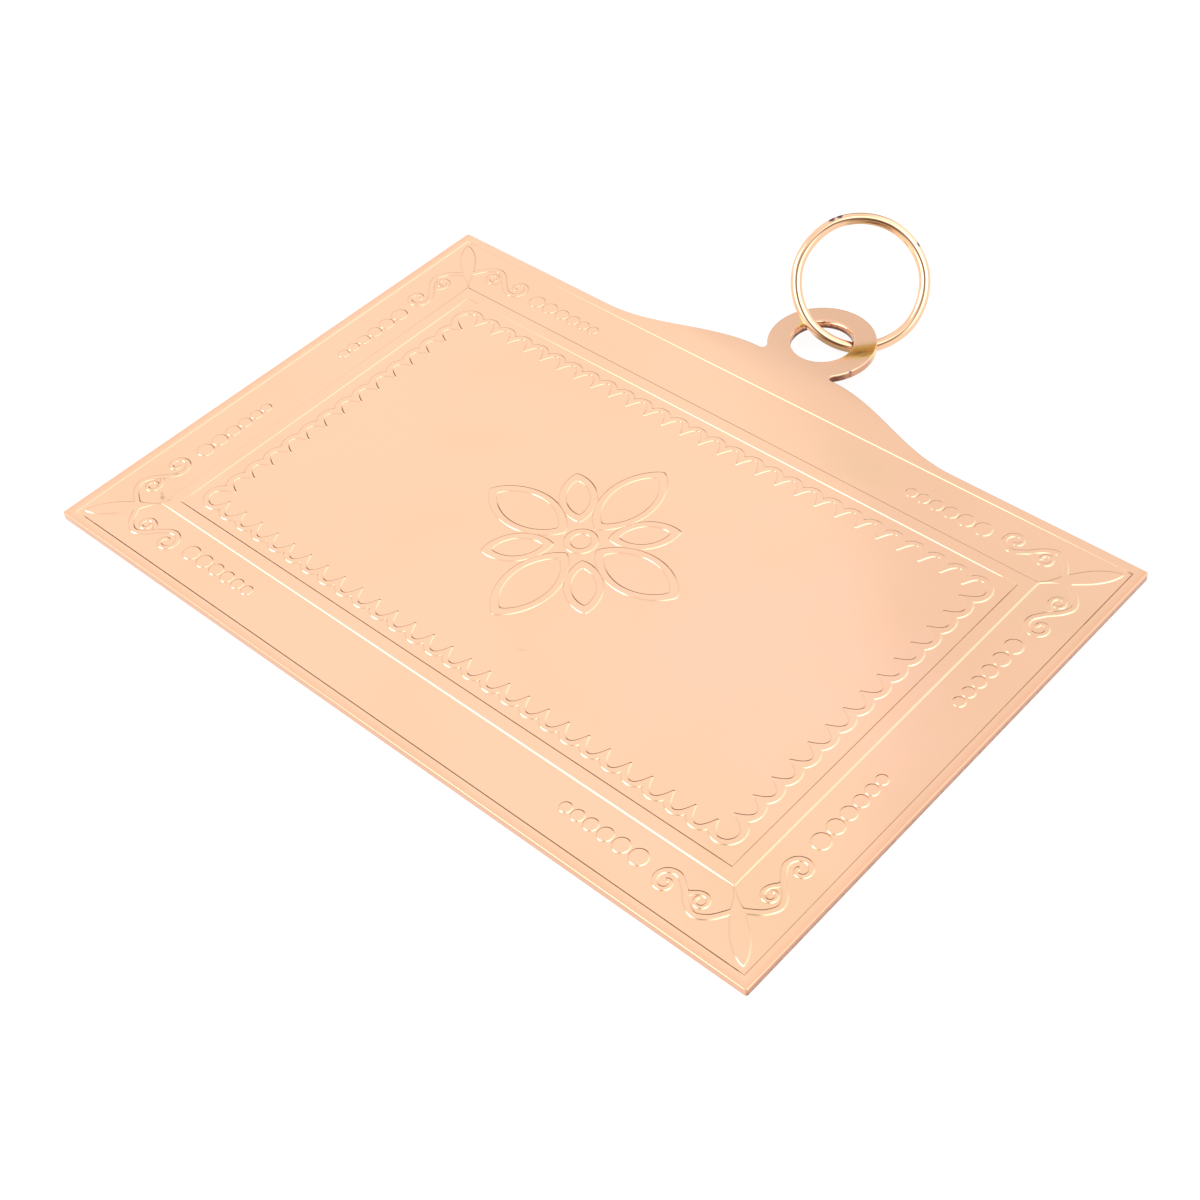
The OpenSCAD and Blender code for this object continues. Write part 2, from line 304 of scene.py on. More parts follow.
# Leaf of the rosette: reach * cos a along and half width * sin a to the power of the taper across
def sineLeaf(middle, reach, halfWidth, turn, step):
    steps = math.ceil(2 * reach / step * 1.1)   # a side is about a tenth longer than the leaf
    angle = np.linspace(0, 2 * math.pi, 2 * steps, endpoint=False)
    across = -halfWidth * np.sign(np.sin(angle)) * np.abs(np.sin(angle)) ** rosette["taper"]
    along = middle - reach * np.cos(angle)
    c, s = math.cos(math.radians(turn)), math.sin(math.radians(turn))
    centre = np.array([plate["width"] / 2, plate["height"] / 2])
    return centre + np.stack([along * c - across * s, along * s + across * c], axis=1)


# Corner leaf: a smooth curve through the table's widths on both sides of the diagonal, turned by 45 degrees
def leafShape():
    rows = np.array(cornerLeaf)
    upper = np.concatenate([knotCurve(rows, perPiece=4), rows[-1:]])
    both = np.concatenate([upper * [1, -1], upper[:0:-1]])
    c = math.sqrt(0.5)
    return np.stack([(both[:, 0] - both[:, 1]) * c, (both[:, 0] + both[:, 1]) * c], axis=1)


# Points at some angles and radii round a centre
def aroundCentre(centre, radius, angle):
    return np.array(centre) + radius[:, None] * np.stack([np.cos(angle), np.sin(angle)], axis=1)


# Stem and big volute in one ribbon: the radius shrinks evenly with the angle
def bigScroll():
    turn = np.linspace(0, 1, scroll["bigPoints"])
    first, last = scroll["bigRadius"]
    radius = first + (last - first) * turn
    angle = np.radians(scroll["bigStart"] - scroll["bigTurn"] * turn)
    volute = aroundCentre(scroll["bigCentre"], radius, angle)
    stem = knotCurve(scroll["stem"], perPiece=9)
    half = np.concatenate([
        np.full(len(stem), scroll["stemHalf"]),
        scroll["stemHalf"] + (scroll["bigEndHalf"] - scroll["stemHalf"]) * turn,
    ])
    return ribbon(np.concatenate([stem, volute]), half)


# Small volute: the radius shrinks evenly, with a flare that dies away exponentially where it leaves the stem
def smallScroll():
    turn = np.linspace(0, 1, scroll["smallPoints"])
    degrees = scroll["smallTurn"] * turn
    first, last = scroll["smallRadius"]
    radius = first + (last - first) * turn
    radius += scroll["smallFlare"] * np.exp(-degrees / scroll["smallFlareTurn"])
    path = aroundCentre(scroll["smallCentre"], radius, np.radians(degrees))
    widths = scroll["smallHalf"]
    return ribbon(path, widths[0] + (widths[1] - widths[0]) * turn)


# A loop without doubled points, turned round where its area comes out negative
def anticlockwise(loop):
    loop = loop[np.linalg.norm(loop - np.roll(loop, 1, axis=0), axis=1) > 1e-6]
    after = np.roll(loop, -1, axis=0)
    area = np.sum(loop[:, 0] * after[:, 1] - loop[:, 1] * after[:, 0])
    return loop if area > 0 else loop[::-1]


# Every raised shape of one quarter, in the corner's frame: an outer loop, and where it has a hole
# an inner loop that runs the other way round
def raisedShapes():
    step, straight = ornament["lineStep"], ornament["straightStep"]

    def pair(outer, inner=None):
        return [anticlockwise(outer)] + ([anticlockwise(inner)[::-1]] if inner is not None else [])

    def inset(distance):
        x, y = plate["width"] - distance, plate["height"] - distance
        return straightLoop([(distance, distance), (x, distance), (x, y), (distance, y)], straight)

    shapes = [pair(inset(ornament["bandIn"]), inset(ornament["bandIn"] + ornament["bandWidth"]))]
    shapes.append(pair(outerEdge(step), innerEdge(step)))
    shapes.append(pair(leafShape()))
    oneSide = [bigScroll(), smallScroll()]
    for k in range(discs["count"]):
        size = discs["ratio"] ** k
        along = discs["start"] + discs["step"] * (1 - size) / (1 - discs["ratio"])
        oneSide.append(arc((along, discs["inset"]), discs["radius"] * size, 0, 360, step)[:-1])
    for loop in oneSide:
        shapes += [pair(loop), pair(loop[:, ::-1])]
    for first, turnStep, count, start, end, halfWidth in rosette["leaves"]:
        middle, reach, line = (start + end) / 2, (end - start) / 2, rosette["outline"] / 2
        tip = line / math.sin(math.atan(halfWidth * math.pi / 2 / reach))
        for k in range(count):
            turn = first + k * turnStep
            shapes.append(pair(
                sineLeaf(middle, reach + tip, halfWidth + line, turn, step),
                sineLeaf(middle, reach - tip, halfWidth - line, turn, step),
            ))
    centre = (plate["width"] / 2, plate["height"] / 2)
    shapes.append(pair(
        arc(centre, rosette["ringRadius"], 0, 360, step)[:-1],
        arc(centre, rosette["ringRadius"] - rosette["outline"], 0, 360, step)[:-1],
    ))
    return shapes


sharpTurn = math.cos(math.radians(24))      # a line that turns more than this has a sharp corner


# The straight pieces of some loops, with the outward direction at both ends of each:
# shared with the neighbour where the line is smooth, and the piece's own beside a sharp corner
def piecesOf(loops):
    found = {name: [] for name in ("start", "run", "outStart", "outEnd", "sharpStart", "sharpEnd")}
    for loop in loops:
        run = np.roll(loop, -1, axis=0) - loop
        out = unit(np.stack([run[:, 1], -run[:, 0]], axis=1))
        before = np.roll(out, 1, axis=0)
        sharp = np.sum(out * before, axis=1) < sharpTurn
        shared = unit(out + before)
        found["start"].append(loop)
        found["run"].append(run)
        found["outStart"].append(np.where(sharp[:, None], out, shared))
        found["outEnd"].append(np.where(np.roll(sharp, -1)[:, None], out, np.roll(shared, -1, axis=0)))
        found["sharpStart"].append(sharp)
        found["sharpEnd"].append(np.roll(sharp, -1))
    return {name: np.concatenate(parts) for name, parts in found.items()}


# Inside test: a point is inside where a line from it to the right crosses the loops an odd number of times
def insideLoops(points, start, run):
    px, py = points[:, None, 0], points[:, None, 1]
    ax, ay = start[None, :, 0], start[None, :, 1]
    bx, by = ax + run[None, :, 0], ay + run[None, :, 1]
    spans = (ay > py) != (by > py)
    height = np.where(by == ay, 1, by - ay)
    crosses = spans & (px < ax + (py - ay) / height * (bx - ax))
    return np.sum(crosses, axis=1) % 2 == 1


# Distance to the nearest straight piece, negative inside, and the outward direction there
def signedDistance(points, pieces):
    start, run = pieces["start"], pieces["run"]
    lengthSquared = np.sum(run**2, axis=1)
    distance, outward = [], []
    pairsAtOnce = 1500000       # keeps the arrays small
    for block in np.array_split(points, max(1, len(points) * len(start) // pairsAtOnce)):
        gap = block[:, None] - start[None]
        t = np.clip(np.sum(gap * run, axis=2) / lengthSquared, 0, 1)
        gap = gap - t[..., None] * run
        squared = np.sum(gap**2, axis=2)
        nearest = np.argmin(squared, axis=1)
        rows = np.arange(len(block))
        share, gap = t[rows, nearest], gap[rows, nearest]
        far = np.sqrt(squared[rows, nearest])
        side = np.where(insideLoops(block, start, run), -1, 1)
        out = pieces["outStart"][nearest] * (1 - share[:, None]) + pieces["outEnd"][nearest] * share[:, None]
        corner = (share == 0) & pieces["sharpStart"][nearest] | (share == 1) & pieces["sharpEnd"][nearest]
        fan = (gap / np.maximum(far, 1e-9)[:, None]) * side[:, None]
        out = np.where((corner & (far > 1e-4))[:, None], fan, out)
        distance.append(far * side)
        outward.append(unit(out))
    return np.concatenate(distance), np.concatenate(outward)


# Distance to the raised ornament as a whole: the smallest of the shapes' distances and the rim's
def raisedDistance(points, shapes):
    edge = np.argmin(points, axis=1)
    distance = points[np.arange(len(points)), edge] - ornament["rimWidth"]
    outward = np.eye(2)[edge]
    reach = 0.6     # a shape further away than this can't be the nearest one
    for pieces in shapes:
        low, high = pieces["start"].min(axis=0) - reach, pieces["start"].max(axis=0) + reach
        near = np.flatnonzero(np.all((points > low) & (points < high), axis=1))
        if not len(near):
            continue
        d, out = signedDistance(points[near], pieces)
        closer = d < distance[near]
        distance[near[closer]] = d[closer]
        outward[near[closer]] = out[closer]
    return distance, outward


# Height of the face: from the raised face down by the relief, in a smooth step across the wall
def faceHeight(distance, outward):
    width = ornament["wallInside"] + ornament["wallOutside"]
    t = np.clip((distance + ornament["wallInside"]) / width, 0, 1)
    height = plate["thickness"] - ornament["relief"] * t**2 * (3 - 2 * t)
    slope = ornament["relief"] * 6 * t * (1 - t) / width
    normal = unit(np.concatenate([outward * slope[:, None], np.ones((len(distance), 1))], axis=1))
    return height, normal


# Lines of points that follow a loop at some distance: each point moves along the outward direction,
# stretched at a bend to keep the distance, and fans out round a sharp corner
def followLoop(loop, level):
    run = np.roll(loop, -1, axis=0) - loop
    out = unit(np.stack([run[:, 1], -run[:, 0]], axis=1))
    before = np.roll(out, 1, axis=0)
    facing = np.sum(out * before, axis=1)
    sharp = facing < sharpTurn
    shared = unit(out + before + 1e-9)
    stretch = 1 / np.maximum(np.sqrt((1 + facing) / 2), 0.2)
    fan = np.array([0, 0.33, -1, 0.67, 1])      # -1 stands for the shared direction
    count = np.where(sharp, len(fan), 1)
    which = np.repeat(np.arange(len(loop)), count)
    place = np.arange(len(which)) - np.repeat(np.cumsum(count) - count, count)
    share = np.where(sharp[which], fan[place], -1)
    turned = unit(before[which] * (1 - share[:, None]) + out[which] * share[:, None])
    direction = np.where((share < 0)[:, None], shared[which] * stretch[which][:, None], turned)
    return loop[which] + level * direction


# Border of one quarter of the sunk face: it starts on the rim, a little outside the rim's inner line
def quarterBorder():
    low = ornament["rimWidth"] - ornament["rimMargin"]
    size = np.array([plate["width"] / 2, plate["height"] / 2])
    border = straightLoop([(low, low), (size[0], low), tuple(size), (low, size[1])], ornament["borderStep"])
    return low, size, border


# The flat-face mesh of one quarter: points along every wall, joined into triangles that keep to those lines
def quarterFace():
    loops = raisedShapes()
    shapes = [piecesOf(pair) for pair in loops]
    low, size, border = quarterBorder()
    beyond = ornament["straightStep"] + 0.1     # a line that crosses the middle keeps its next point
    loopReach = 3           # a loop further beyond the middle has no wall in this quarter
    sameLevel = 0.008       # a point that is off its level by more lies in another shape
    longestLink = 0.4
    levels = np.linspace(-ornament["wallInside"], ornament["wallOutside"], ornament["levels"])
    points, links, used = [], [], 0
    for pair in loops:
        for loop in pair:
            inReach = np.all((loop > low) & (loop < size + loopReach), axis=1)
            if not inReach.any():
                continue
            for level in levels:
                line = followLoop(loop, level)
                kept = np.all((line > low) & (line < size + beyond), axis=1)
                near = np.flatnonzero(kept)
                distance, outward = raisedDistance(line[near], shapes)
                kept[near] = np.abs(distance - level) < sameLevel
                index = np.flatnonzero(kept)
                if len(index) < 2:
                    continue
                after = np.roll(index, -1)
                gap = np.linalg.norm(line[after] - line[index], axis=1)
                skipped = (after - index) % len(line)
                linked = (gap < longestLink) | (skipped == 1)
                first = used + np.arange(len(index))
                points.append(line[index])
                links.append(np.stack([first, np.roll(first, -1)], axis=1)[linked])
                used += len(index)
    for axis in (0, 1):
        for level in levels:
            count = math.ceil(size[1 - axis] / ornament["straightStep"])
            along = np.linspace(ornament["rimWidth"] + level, size[1 - axis] + beyond, count + 1)
            line = np.zeros((count + 1, 2))
            line[:, axis] = ornament["rimWidth"] + level
            line[:, 1 - axis] = along
            points.append(line)
            first = used + np.arange(count)
            links.append(np.stack([first, first + 1], axis=1))
            used += count + 1
    points.append(border)
    first = used + np.arange(len(border))
    links.append(np.stack([first, np.roll(first, -1)], axis=1))
    points, links = np.concatenate(points), np.concatenate(links)
    triangles, flat = joinTriangles(points, links)
    centre = flat[triangles].mean(axis=1)
    inside = np.all((centre > low) & (centre < size), axis=1)
    triangles, flat = keepUsed(triangles[inside], flat)
    flat = np.where(np.abs(flat - size) < 1e-4, size, flat)
    distance, outward = raisedDistance(flat, shapes)
    height, normal = faceHeight(distance, outward)
    return np.column_stack([flat, height]), normal, triangles


# Triangles between flat points that keep every link as an edge: constrained Delaunay
def joinTriangles(points, links):
    result = delaunay_2d_cdt([Vector(p) for p in points], links.tolist(), [], 0, 1e-5)
    return np.array(result[2]), np.array([tuple(v) for v in result[0]])


# Only the points that triangles still use, with the triangles renumbered to match
def keepUsed(triangles, points):
    used, back = np.unique(triangles, return_inverse=True)
    return back.reshape(-1, 3), points[used]


# Worn walls: the upper border's walls that face up, and the left band's that face left, catch light as
# shallower slopes do, so the normal's level part shrinks there
def softenWalls(points, normals):
    x, y = points[:, 0], points[:, 1]
    wallWidth = ornament["wallInside"] + ornament["wallOutside"]
    upper = np.clip((y - ornament["wornFrom"]) / ornament["wornFade"], 0, 1) * (normals[:, 1] > 0)
    leftBand = (np.abs(x + plate["width"] / 2 - ornament["bandIn"]) < wallWidth) & (normals[:, 0] < 0)
    keep = 1 - np.maximum(upper, leftBand) * (1 - ornament["wornSlope"])
    return unit(normals * np.column_stack([keep, keep, np.ones(len(keep))]))


# All four quarters: the first one, turned over across the middle lines, with the triangles turned back
def wholeFace():
    points, normal, triangles = quarterFace()
    parts = []
    for flipX in (False, True):
        for flipY in (False, True):
            p, n = points.copy(), normal.copy()
            p[:, 0] -= plate["width"] / 2
            if flipX:
                p[:, 0] *= -1
                n[:, 0] *= -1
            if flipY:
                p[:, 1] = plate["height"] - p[:, 1]
                n[:, 1] *= -1
            n = softenWalls(p, n)
            parts.append((p, n, triangles[:, ::-1] if flipX != flipY else triangles))
    return parts


# The rim's inner line that both meshes share: the outer two sides of each quarter's border, all round
def pocketLoop():
    low, size, border = quarterBorder()
    lower = border[(border[:, 1] == low) & (border[:, 0] < size[0])]
    left = border[(border[:, 0] == low) & (border[:, 1] < size[1]) & (border[:, 1] > low)][::-1]
    left = left[np.argsort(left[:, 1])]
    xs = np.concatenate([lower[:, 0], [size[0]]])
    ys = np.concatenate([[low], left[:, 1], [size[1]]])
    allX = np.concatenate([xs - size[0], (size[0] - xs[:-1])[::-1]])
    allY = np.concatenate([ys, (plate["height"] - ys[:-1])[::-1]])
    return np.concatenate([
        np.column_stack([allX[:-1], np.full(len(allX) - 1, allY[0])]),
        np.column_stack([np.full(len(allY) - 1, allX[-1]), allY[:-1]]),
        np.column_stack([allX[:0:-1], np.full(len(allX) - 1, allY[-1])]),
        np.column_stack([np.full(len(allY) - 1, allX[0]), allY[:0:-1]]),
    ])


# Outline of the plate, anticlockwise: four corner arcs, the gable as half a cosine wave on each side,
# and the eye's arc between two fillets
def plateOutline():
    half, height, corner = plate["width"] / 2, plate["height"], plate["cornerRadius"]
    eye = np.array([plate["eyeX"], height + plate["eyeY"]])
    eyeRadius, notch = plate["eyeDiameter"] / 2, plate["notchRadius"]
    filletY = height + plate["gableHeight"] + notch
    rise = eye[1] - filletY
    reach = math.sqrt((eyeRadius + notch) ** 2 - rise**2)
    touch = math.degrees(math.atan2(rise, reach))
    rightX, leftX = eye[0] + reach, eye[0] - reach
    t = np.linspace(0, 1, plate["gablePoints"])
    wave = height + plate["gableHeight"] * (1 - np.cos(math.pi * t)) / 2
    rightGable = np.column_stack([plate["gableHalf"] + (rightX - plate["gableHalf"]) * t, wave])
    leftGable = np.column_stack([-plate["gableHalf"] + (leftX + plate["gableHalf"]) * t, wave])[::-1]
    fine, eyeStep = 0.06, 0.3

    def straight(a, b):
        count = math.ceil(math.dist(a, b) / ornament["borderStep"])
        return np.linspace(a, b, count + 1)[1:-1]

    cornerArcs = [
        arc((corner - half, corner), corner, 180, 270, fine),
        arc((half - corner, corner), corner, 270, 360, fine),
        arc((half - corner, height - corner), corner, 0, 90, fine),
        arc((corner - half, height - corner), corner, 90, 180, fine),
    ]
    loop = [
        cornerArcs[0], straight(cornerArcs[0][-1], cornerArcs[1][0]),
        cornerArcs[1], straight(cornerArcs[1][-1], cornerArcs[2][0]),
        cornerArcs[2], straight(cornerArcs[2][-1], rightGable[0]),
        rightGable[:-1],
        arc((rightX, filletY), notch, 270, 180 - touch, fine),
        arc(eye, eyeRadius, -touch, 180 + touch, eyeStep)[1:-1],
        arc((leftX, filletY), notch, touch, -90, fine),
        leftGable[1:], straight(leftGable[-1], cornerArcs[3][0]),
        cornerArcs[3], straight(cornerArcs[3][-1], cornerArcs[0][0]),
    ]
    return np.concatenate(loop)


# Profile of a rounded edge: a quarter arc down from the face, the straight wall, a quarter arc to the back.
# A row for each point of the line; columns: how far in from the wall, the height, and the outward and
# upward parts of the normal
def edgeProfile(top, bottom):
    top = np.atleast_1d(top)[:, None]
    a = np.linspace(0, math.pi / 2, plate["facePoints"])[None]
    b = np.linspace(0, math.pi / 2, plate["backPoints"])[None]
    one = np.ones_like(top)
    inward = np.concatenate([top * (1 - np.sin(a)), one * bottom * (1 - np.cos(b))], axis=1)
    topHeight = plate["thickness"] - top * (1 - np.cos(a))
    height = np.concatenate([topHeight, one * bottom * (1 - np.sin(b))], axis=1)
    side = np.concatenate([one * np.sin(a), one * np.cos(b)], axis=1)
    up = np.concatenate([one * np.cos(a), -one * np.sin(b)], axis=1)
    return np.stack([inward, height, side, up], axis=-1)


# A profile carried along a closed line: each point of the line moves in by the profile's first column
def carryProfile(line, outward, profile):
    profile = np.broadcast_to(profile, (len(line),) + profile.shape[1:])
    inward, height, side, up = (profile[..., column, None] for column in range(4))
    flat = line[:, None] - outward[:, None] * inward
    points = np.concatenate([flat, height], axis=2)
    normal = np.concatenate([outward[:, None] * side, up], axis=2)
    rows, columns = flat.shape[:2]
    index = np.arange(rows * columns).reshape(rows, columns)
    here, there = index, np.roll(index, -1, axis=0)
    quads = np.stack([here[:, :-1], here[:, 1:], there[:, 1:], there[:, :-1]], axis=-1).reshape(-1, 4)
    triangles = np.concatenate([quads[:, [0, 1, 2]], quads[:, [0, 2, 3]]])
    return points.reshape(-1, 3), normal.reshape(-1, 3), triangles


# Outward direction at each point of an anticlockwise loop: the mean of its two neighbouring pieces'
def smoothOutward(loop):
    run = np.roll(loop, -1, axis=0) - loop
    out = unit(np.stack([run[:, 1], -run[:, 0]], axis=1))
    before = np.roll(out, 1, axis=0)
    return unit(out + before)


# A flat sheet between closed lines, at one height: inside the first line and outside the others
def flatSheet(outer, openings, height, up):
    loops = [outer] + openings
    points = np.concatenate(loops)
    ends = np.cumsum([len(loop) for loop in loops])
    links = []
    for loop, end in zip(loops, ends):
        first = end - len(loop) + np.arange(len(loop))
        links.append(np.stack([first, np.roll(first, -1)], axis=1))
    triangles, flat = joinTriangles(points, np.concatenate(links))
    centre = flat[triangles].mean(axis=1)
    run = np.concatenate([np.roll(loop, -1, axis=0) - loop for loop in loops])
    triangles, flat = keepUsed(triangles[insideLoops(centre, points, run)], flat)
    count = len(flat)
    normal = np.tile([0.0, 0.0, 1.0 if up else -1.0], (count, 1))
    points = np.column_stack([flat, np.full(count, float(height))])
    return points, normal, triangles if up else triangles[:, ::-1]


# One mesh from several parts: points that share a place, after rounding, become one
def buildPiece(name, parts, inPlateFrame):
    decimals = 4
    counts = np.cumsum([0] + [len(p) for p, n, t in parts])
    points = np.concatenate([p for p, n, t in parts])
    normals = np.concatenate([n for p, n, t in parts])
    triangles = np.concatenate([t + c for (p, n, t), c in zip(parts, counts)])
    rounded = np.round(points, decimals)
    keys, first, back = np.unique(rounded, axis=0, return_index=True, return_inverse=True)
    back = back.reshape(-1)
    total = np.zeros((len(keys), 3))
    np.add.at(total, back, normals)
    triangles = back[triangles]
    one, two, three = triangles.T
    different = (one != two) & (two != three) & (three != one)
    triangles, points, normals = triangles[different], points[first], unit(total)
    if inPlateFrame:
        points = placeOnFloor(points)
        normals = normals @ np.array(plateTurn).T
    mesh = bpy.data.meshes.new(name)
    mesh.vertices.add(len(points))
    mesh.vertices.foreach_set("co", points.ravel())
    mesh.loops.add(triangles.size)
    mesh.loops.foreach_set("vertex_index", triangles.ravel())
    mesh.polygons.add(len(triangles))
    mesh.polygons.foreach_set("loop_start", np.arange(0, triangles.size, 3))
    mesh.update(calc_edges=True)
    mesh.polygons.foreach_set("use_smooth", np.ones(len(triangles), bool))
    mesh.normals_split_custom_set_from_vertices(normals.tolist())
    piece = bpy.data.objects.new(name, mesh)
    scene.collection.objects.link(piece)
    print(name, len(points), "points", len(triangles), "triangles")
    return piece


# The plate: the sunk face, the rim's flat, the outline's edge, the hole's edge and the back
def makePlate():
    parts = wholeFace()
    outline = plateOutline()
    outlineOut = smoothOutward(outline)
    edge = edgeProfile(plate["edgeRounding"], plate["backRounding"])
    eye = (plate["eyeX"], plate["height"] + plate["eyeY"])
    hole = arc(eye, plate["holeDiameter"] / 2, 0, -360, plate["holeStep"])[:-1]
    holeOut = smoothOutward(hole)
    heading = math.radians(plate["lipHeading"])
    facing = np.clip(-holeOut @ np.array([math.cos(heading), math.sin(heading)]), 0, 1)
    lip = plate["holeRounding"] + plate["lipWear"] * facing ** plate["lipPower"]
    holeEdge = edgeProfile(lip, plate["backRounding"])
    parts.append(carryProfile(outline, outlineOut, edge))
    parts.append(carryProfile(hole, holeOut, holeEdge))
    topOutline = outline - outlineOut * edge[:, 0, :1]
    topHole = hole - holeOut * holeEdge[:, 0, :1]
    backOutline = outline - outlineOut * edge[:, -1, :1]
    backHole = hole - holeOut * holeEdge[:, -1, :1]
    parts.append(flatSheet(topOutline, [topHole, pocketLoop()], plate["thickness"], True))
    parts.append(flatSheet(backOutline, [backHole], 0, False))
    return buildPiece("giltPlate", parts, True)


wire = {
    "around": 336,
    "across": 48,
    # Columns: waves round the ring, how far it bends in its plane, how far out of it, where the wave starts
    "bends": [
        (2, 0.020, 0.012, 0.6), (3, 0.012, 0.010, 2.1), (5, 0.006, 0.005, 4.0), (9, 0.0025, 0.002, 1.3),
    ],
    "kinks": 7,             # where the pliers held the wire
    "kinkDepth": 0.05,
    "kinkSoftness": 0.12,
    "kinkStart": 0.35,
}


# Ring: a circle that a few small waves bend by hand, with a round wire carried along it
def makeRing():
    centre, axis = np.array(ringMount["pos_m"]) / millimetre, unit(np.array(ringMount["axis"]))
    spoke = np.array(hinge) / millimetre - centre
    radius = np.linalg.norm(spoke)
    acrossOne = unit(spoke)
    acrossTwo = np.cross(axis, acrossOne)
    u = np.linspace(0, 2 * math.pi, wire["around"], endpoint=False)
    bendIn = sum(size * np.sin(waves * u + start) for waves, size, out, start in wire["bends"])
    bendOut = sum(out * np.sin(waves * u + start + 1) for waves, size, out, start in wire["bends"])
    wave = np.sin(wire["kinks"] / 2 * u + wire["kinkStart"])
    bendIn = bendIn - wire["kinkDepth"] * np.sqrt(wave**2 + wire["kinkSoftness"] ** 2)
    outward = np.cos(u)[:, None] * acrossOne + np.sin(u)[:, None] * acrossTwo
    middle = centre + outward * (radius + bendIn)[:, None] + axis * bendOut[:, None]
    along = unit(np.roll(middle, -1, axis=0) - np.roll(middle, 1, axis=0))
    side = unit(np.cross(along, axis))
    upright = np.cross(side, along)
    v = np.linspace(0, 2 * math.pi, wire["across"], endpoint=False)[None, :, None]
    normal = np.cos(v) * side[:, None] + np.sin(v) * upright[:, None]
    points = middle[:, None] + wireRadius * normal
    index = np.arange(wire["around"] * wire["across"]).reshape(wire["around"], wire["across"])
    right, above = np.roll(index, -1, axis=0), np.roll(index, -1, axis=1)
    diagonal = np.roll(right, -1, axis=1)
    quads = np.stack([index, right, diagonal, above], axis=-1).reshape(-1, 4)
    triangles = np.concatenate([quads[:, [0, 1, 2]], quads[:, [0, 2, 3]]])
    part = (points.reshape(-1, 3), normal.reshape(-1, 3), triangles)
    ring = buildPiece("wireRing", [part], False)
    ring.data.transform(Matrix.Scale(millimetre, 4))
    return ring


# A socket of a node tree that can be used in sums: each operator adds a Math node
class Signal:
    def __init__(self, tree, socket):
        self.tree = tree
        self.socket = socket

    def __add__(self, other):
        return self.tree.math("ADD", self, other)

    def __radd__(self, other):
        return self.tree.math("ADD", other, self)

    def __sub__(self, other):
        return self.tree.math("SUBTRACT", self, other)

    def __rsub__(self, other):
        return self.tree.math("SUBTRACT", other, self)

    def __mul__(self, other):
        return self.tree.math("MULTIPLY", self, other)

    def __rmul__(self, other):
        return self.tree.math("MULTIPLY", other, self)

    def __truediv__(self, other):
        return self.tree.math("DIVIDE", self, other)

    def __rtruediv__(self, other):
        return self.tree.math("DIVIDE", other, self)


# The nodes of one material or of the room
class Tree:
    def __init__(self, owner):
        owner.use_nodes = True
        self.nodes = owner.node_tree.nodes
        self.links = owner.node_tree.links
        self.nodes.clear()

    # Any node: its type, its settings, then the values or links of its sockets
    def add(self, kind, settings=None, sockets=None, out=0):
        node = self.nodes.new(kind)
        for name, value in (settings or {}).items():
            setattr(node, name, value)
        for key, value in (sockets or {}).items():
            if isinstance(value, Signal):
                self.links.new(value.socket, node.inputs[key])
            else:
                node.inputs[key].default_value = value
        return Signal(self, node.outputs[out]) if node.outputs else None

    # One number from numbers
    def math(self, operation, *values):
        return self.add("ShaderNodeMath", {"operation": operation}, dict(enumerate(values)))

    # A length, a distance or a dot product: one number from one or two vectors
    def measure(self, operation, *vectors):
        sockets = dict(enumerate(vectors))
        return self.add("ShaderNodeVectorMath", {"operation": operation}, sockets, out="Value")

    # Colour one where the share is 0, colour two where it is 1
    def mix(self, share, one, two):
        return self.add("ShaderNodeMix", {"data_type": "RGBA"}, {0: share, 6: one, 7: two}, out=2)

    # From 0 at the low value to 1 at the high one, in a smooth step
    def smoothStep(self, value, low, high):
        settings = {"interpolation_type": "SMOOTHSTEP"}
        return self.add("ShaderNodeMapRange", settings, {"Value": value, "From Min": low, "From Max": high})

    def noise(self, place, scale, detail, roughness):
        sockets = {"Vector": place, "Scale": scale, "Detail": detail, "Roughness": roughness}
        return self.add("ShaderNodeTexNoise", {}, sockets)


# What both gildings share
giltFinish = {
    # Columns: how fine the noise is, its detail, its roughness
    "drift": (42, 2, 0.5),
    "haze": (130, 3, 0.5),
    "polish": (900, 4, 0.6),
    "swell": (60, 1, 0.5),
    "driftEdges": (0.35, 0.65),
    "hazeRough": 0.03,
    "polishRough": 0.02,
    "polishHeight": 0.03,
    "polishTurn": 0.5,      # direction of the polishing lines, in radians
    "polishStretch": 14,
    "bumpStrength": 0.06,
    "bumpDistance": 0.0002,
}

